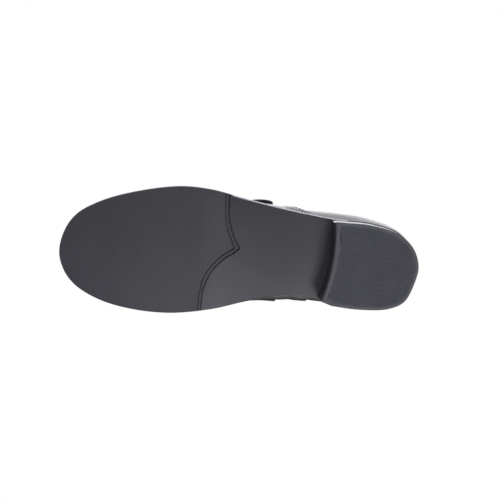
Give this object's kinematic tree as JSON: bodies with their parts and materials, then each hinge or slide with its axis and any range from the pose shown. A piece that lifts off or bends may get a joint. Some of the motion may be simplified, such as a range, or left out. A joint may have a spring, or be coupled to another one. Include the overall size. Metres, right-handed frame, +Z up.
{
  "type": "strap tap shoe",
  "caption": "Low-heeled round-toed shoe with a grooved flat sole, rubber-tipped block heel and an instep strap that closes with a hook and loop tab.",
  "frame": {"origin": "on the floor under the middle of the whole shoe", "axes": "toe towards -X, heel towards +X, outer side of this left shoe towards -Y, inner side towards +Y, +Z up"},
  "size_m": [0.2538, 0.0888, 0.083],
  "materials": {
    "sole": "smooth dark grey sole, fine stipple on the forepart, satin waist",
    "heel": "black painted heel block",
    "top_piece": "dark grey rubber with a fine raised diamond texture inside a smooth rim",
    "steel": "bright steel",
    "cork": "ground cork",
    "board": "tan fibre board",
    "foam": "pale foam",
    "sock": "soft tan sock leather",
    "stiffener": "stiffening sheet",
    "leather": "smooth black leather with a fine grain",
    "lining": "beige woven lining",
    "hook_and_loop": "black hook and loop tape"
  },
  "bodies": {
    "shoe": {"outsole": "sole", "heel_block": "heel", "heel_top_piece": "top_piece", "heel_nail_1": "steel", "heel_nail_2": "steel", "heel_nail_3": "steel", "heel_nail_4": "steel", "heel_nail_5": "steel", "shank": "steel", "shank_rivet_front": "steel", "shank_rivet_rear": "steel", "forepart_filler": "cork", "insole_board": "board", "heel_cushion": "foam", "sock_lining": "sock", "toe_puff": "stiffener", "heel_counter": "stiffener", "vamp": "leather", "vamp_lining": "lining", "quarter_lateral": "leather", "quarter_medial": "leather", "quarter_lining": "lining", "back_strip": "leather", "topline_binding": "leather", "strap_base": "leather", "loop_patch": "hook_and_loop"},
    "strap": {"strap_band": "leather", "strap_band_lining": "lining"},
    "tab": {"strap_tab": "leather", "strap_tab_lining": "lining", "hook_patch": "hook_and_loop"}
  },
  "joints": [
    {"name": "strap_swing", "type": "hinge", "parent": "shoe", "child": "strap", "pos_m": [0.01003, 0.03557, 0.0522], "axis": [-0.9348, -0.086, -0.3445], "range_deg": [0, 120]},
    {"name": "tab_peel", "type": "hinge", "parent": "strap", "child": "tab", "pos_m": [0.01004, -0.03008, 0.05325], "axis": [-0.9411, 0.0334, -0.3365], "range_deg": [0, 90]}
  ]
}
